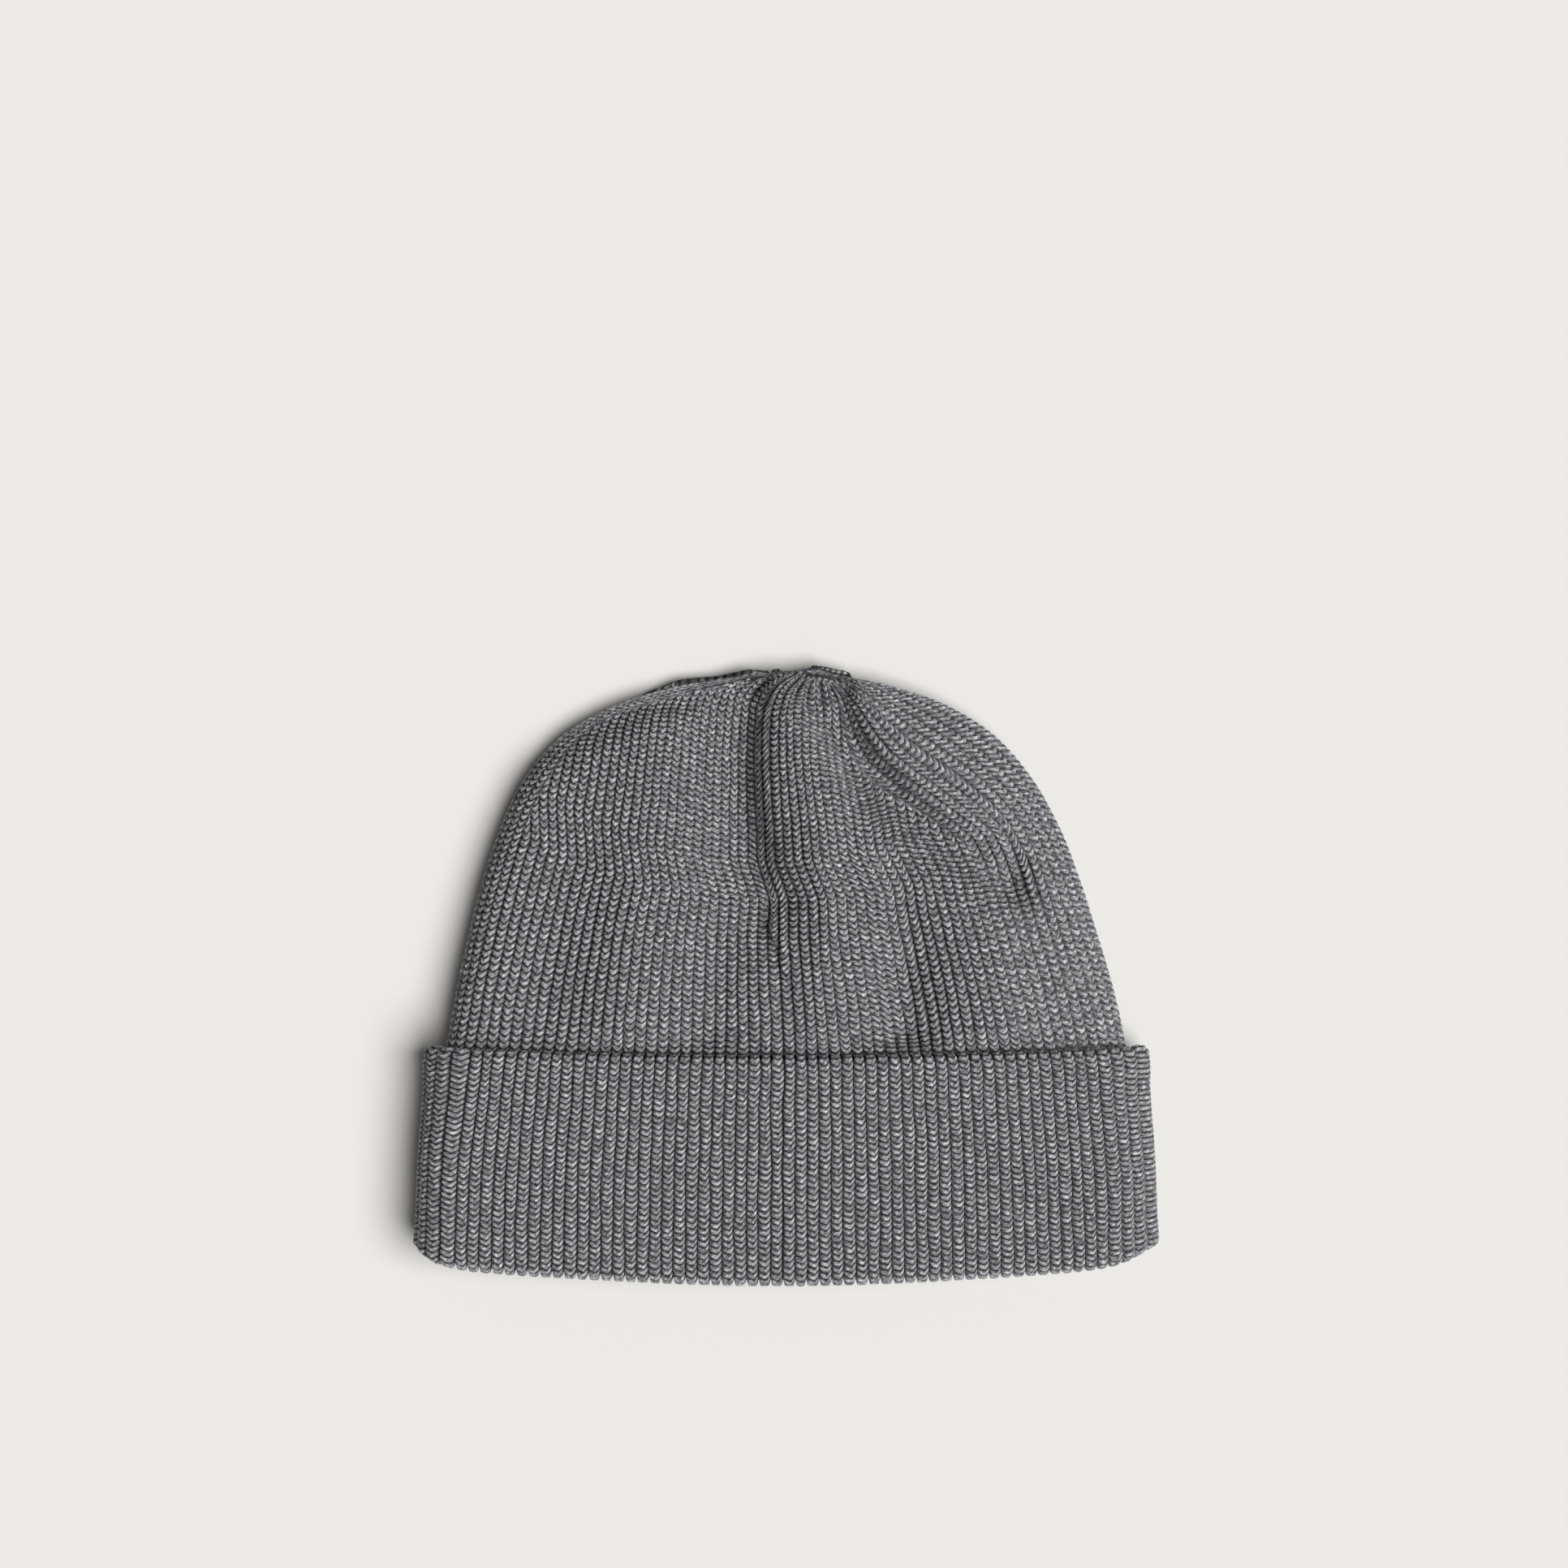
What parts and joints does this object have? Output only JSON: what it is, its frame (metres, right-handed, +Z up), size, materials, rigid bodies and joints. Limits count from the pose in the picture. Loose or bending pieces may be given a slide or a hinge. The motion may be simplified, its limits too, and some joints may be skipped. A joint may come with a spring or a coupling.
{
  "type": "knit watch cap",
  "caption": "Grey rib-knit watch cap lying flat on its back, with a gathered, darted crown and a wide cuff turned up round an open mouth.",
  "frame": {"origin": "on the floor under the middle of the cap's outline, seen from above", "axes": "+X across the cap to the wearer's left as it lies on its back, +Y from the mouth to the tip of the crown, +Z up from the floor, out of the cap's front"},
  "size_m": [0.2255, 0.1853, 0.0319],
  "materials": {
    "crown_knit": "matt heathered rib knit",
    "cuff_knit": "matt heathered rib knit"
  },
  "bodies": {
    "root": {"crown": "crown_knit", "cuff": "cuff_knit"}
  },
  "joints": []
}
